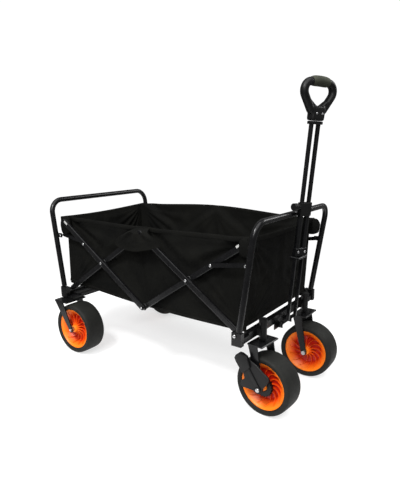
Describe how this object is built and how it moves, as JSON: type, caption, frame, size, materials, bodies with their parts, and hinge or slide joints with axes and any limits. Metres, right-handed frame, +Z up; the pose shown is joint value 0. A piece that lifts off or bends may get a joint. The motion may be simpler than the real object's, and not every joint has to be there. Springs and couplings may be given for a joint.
{
  "type": "folding camp wagon",
  "caption": "Folding fabric wagon with a scissor tube frame, wide swivel and fixed wheels, and a telescoping pull handle with a D-grip.",
  "frame": {"origin": "floor level, under the middle of the overall box", "axes": "+X to the front (handle and casters), +Y to the wagon's left, +Z up"},
  "size_m": [1.0172, 0.6094, 1.004],
  "materials": {
    "steel": "black powder coat, satin",
    "bright": "zinc-plated bolts",
    "fabric": "black woven polyester",
    "plastic": "black moulded plastic",
    "tyre": "dark grey, smooth",
    "rim": "orange",
    "soft": "olive grey, soft"
  },
  "bodies": {
    "rear_frame": {"rear_hoop": "steel", "rear_crossbar": "steel", "rear_fork_right": "steel", "rear_fork_left": "steel", "rear_axle_right": "bright", "rear_axle_left": "bright", "wall_rear": "fabric", "side_rear_right": "fabric", "side_rear_left": "fabric"},
    "rear_hoop_bars": {"hoop_bar_rear_right": "steel", "hoop_bar_rear_left": "steel"},
    "rear_span_bars": {"span_bar_rear_right": "steel", "span_bar_rear_left": "steel", "spacer_rear_right": "plastic", "spacer_rear_left": "plastic", "spacer_centre_right": "plastic", "spacer_centre_left": "plastic"},
    "front_span_bars": {"span_bar_front_right": "steel", "span_bar_front_left": "steel"},
    "front_hoop_bars": {"hoop_bar_front_right": "steel", "hoop_bar_front_left": "steel", "spacer_front_right": "plastic", "spacer_front_left": "plastic"},
    "front_frame": {"front_hoop": "steel", "front_crossbar": "steel", "wall_front": "fabric", "side_front_right": "fabric", "side_front_left": "fabric", "caster_housing_right": "plastic", "caster_housing_left": "plastic", "handle_bracket": "steel"},
    "rear_links": {"link_rear_right": "steel", "link_rear_left": "steel"},
    "front_links": {"link_front_right": "steel", "link_front_left": "steel"},
    "rear_floor": {"floor_board_rear": "fabric"},
    "front_floor": {"floor_board_front": "fabric"},
    "handle": {"handle_yoke": "steel", "handle_outer_tubes": "steel", "handle_clamp": "plastic"},
    "pull_rods": {"handle_rods": "steel", "d_grip": "plastic", "grip_insert": "soft"},
    "lock_knob": {"lock_button": "plastic"},
    "rear_right_wheel": {"rear_right_rim": "rim", "rear_right_tyre": "tyre"},
    "right_caster": {"caster_fork_right": "steel", "caster_axle_right": "bright"},
    "front_right_wheel": {"front_right_rim": "rim", "front_right_tyre": "tyre", "brake_ring_right": "plastic"},
    "right_brake_lever": {"brake_lever_right": "plastic"},
    "rear_left_wheel": {"rear_left_rim": "rim", "rear_left_tyre": "tyre"},
    "left_caster": {"caster_fork_left": "steel", "caster_axle_left": "bright"},
    "front_left_wheel": {"front_left_rim": "rim", "front_left_tyre": "tyre", "brake_ring_left": "plastic"},
    "left_brake_lever": {"brake_lever_left": "plastic"}
  },
  "joints": [
    {"name": "fold", "type": "hinge", "parent": "rear_frame", "child": "rear_hoop_bars", "pos_m": [-0.42507, 0, 0.22923], "axis": [0, -1, 0], "range_deg": [0, 44.2]},
    {"name": "rear_crossing", "type": "hinge", "parent": "rear_hoop_bars", "child": "rear_span_bars", "pos_m": [-0.23847, 0, 0.36876], "axis": [0, -1, 0], "range_deg": [-88.7, 0]},
    {"name": "centre_pivot", "type": "hinge", "parent": "rear_span_bars", "child": "front_span_bars", "pos_m": [-0.03836, 0, 0.24941], "axis": [0, -1, 0], "range_deg": [0, 88.7]},
    {"name": "front_crossing", "type": "hinge", "parent": "front_span_bars", "child": "front_hoop_bars", "pos_m": [0.14824, 0, 0.38894], "axis": [0, -1, 0], "range_deg": [-88.7, 0]},
    {"name": "front_foot_pivot", "type": "hinge", "parent": "front_hoop_bars", "child": "front_frame", "pos_m": [0.34835, 0, 0.26958], "axis": [0, -1, 0], "range_deg": [0, 44.5]},
    {"name": "rear_link_pivot", "type": "hinge", "parent": "rear_frame", "child": "rear_links", "pos_m": [-0.45967, 0, 0.43631], "axis": [0, -1, 0], "range_deg": [0, 77.65]},
    {"name": "front_link_pivot", "type": "hinge", "parent": "front_frame", "child": "front_links", "pos_m": [0.36122, 0, 0.47914], "axis": [0, -1, 0], "range_deg": [-77.65, 0]},
    {"name": "rear_floor_hinge", "type": "hinge", "parent": "rear_frame", "child": "rear_floor", "pos_m": [-0.42315, 0, 0.23544], "axis": [0, -1, 0], "range_deg": [0, 95.33]},
    {"name": "front_floor_hinge", "type": "hinge", "parent": "front_frame", "child": "front_floor", "pos_m": [0.33681, 0, 0.27509], "axis": [0, -1, 0], "range_deg": [-66.6, 0]},
    {"name": "rear_right_roll", "type": "hinge", "parent": "rear_frame", "child": "rear_right_wheel", "pos_m": [-0.35122, -0.2527, 0.0946], "axis": [0, 1, 0], "continuous": true},
    {"name": "rear_left_roll", "type": "hinge", "parent": "rear_frame", "child": "rear_left_wheel", "pos_m": [-0.35122, 0.2527, 0.0946], "axis": [0, 1, 0], "continuous": true},
    {"name": "right_swivel", "type": "hinge", "parent": "front_frame", "child": "right_caster", "pos_m": [0.38206, -0.1524, 0.24841], "axis": [-0.0521, 0, 0.9986], "continuous": true},
    {"name": "front_right_roll", "type": "hinge", "parent": "right_caster", "child": "front_right_wheel", "pos_m": [0.41266, -0.15398, 0.0946], "axis": [0.0697, 0.9976, 0.0036], "continuous": true},
    {"name": "right_brake", "type": "hinge", "parent": "right_caster", "child": "right_brake_lever", "pos_m": [0.41266, -0.15398, 0.0946], "axis": [-0.0697, -0.9976, -0.0036], "range_deg": [0, 14]},
    {"name": "left_swivel", "type": "hinge", "parent": "front_frame", "child": "left_caster", "pos_m": [0.38206, 0.1524, 0.24841], "axis": [-0.0521, 0, 0.9986], "continuous": true},
    {"name": "front_left_roll", "type": "hinge", "parent": "left_caster", "child": "front_left_wheel", "pos_m": [0.41272, 0.15279, 0.0946], "axis": [-0.0174, 0.9998, -0.0009], "continuous": true},
    {"name": "left_brake", "type": "hinge", "parent": "left_caster", "child": "left_brake_lever", "pos_m": [0.41272, 0.15279, 0.0946], "axis": [0.0174, -0.9998, 0.0009], "range_deg": [0, 14]},
    {"name": "handle_tilt", "type": "hinge", "parent": "front_frame", "child": "handle", "pos_m": [0.38076, 0, 0.23883], "axis": [0, 1, 0], "range_deg": [0, 92]},
    {"name": "handle_slide", "type": "slide", "parent": "handle", "child": "pull_rods", "axis": [0.0316, 0, 0.9995], "range_m": [-0.225, 0]},
    {"name": "lock_press", "type": "slide", "parent": "handle", "child": "lock_knob", "axis": [0.3418, 0.9397, -0.0108], "range_m": [0, 0.0035], "stiffness_N_per_m": 500, "springref_m": -0.002}
  ],
  "couplings": [
    {"joint": "rear_crossing", "follows": "fold", "ratio": -2},
    {"joint": "centre_pivot", "follows": "fold", "ratio": 2},
    {"joint": "front_crossing", "follows": "fold", "ratio": -2},
    {"joint": "front_foot_pivot", "follows": "fold", "ratio": 1},
    {"joint": "rear_link_pivot", "follows": "fold", "ratio": 1.75},
    {"joint": "front_link_pivot", "follows": "fold", "ratio": -1.75},
    {"joint": "rear_floor_hinge", "follows": "fold", "ratio": 2.15},
    {"joint": "front_floor_hinge", "follows": "fold", "ratio": -1.5}
  ]
}
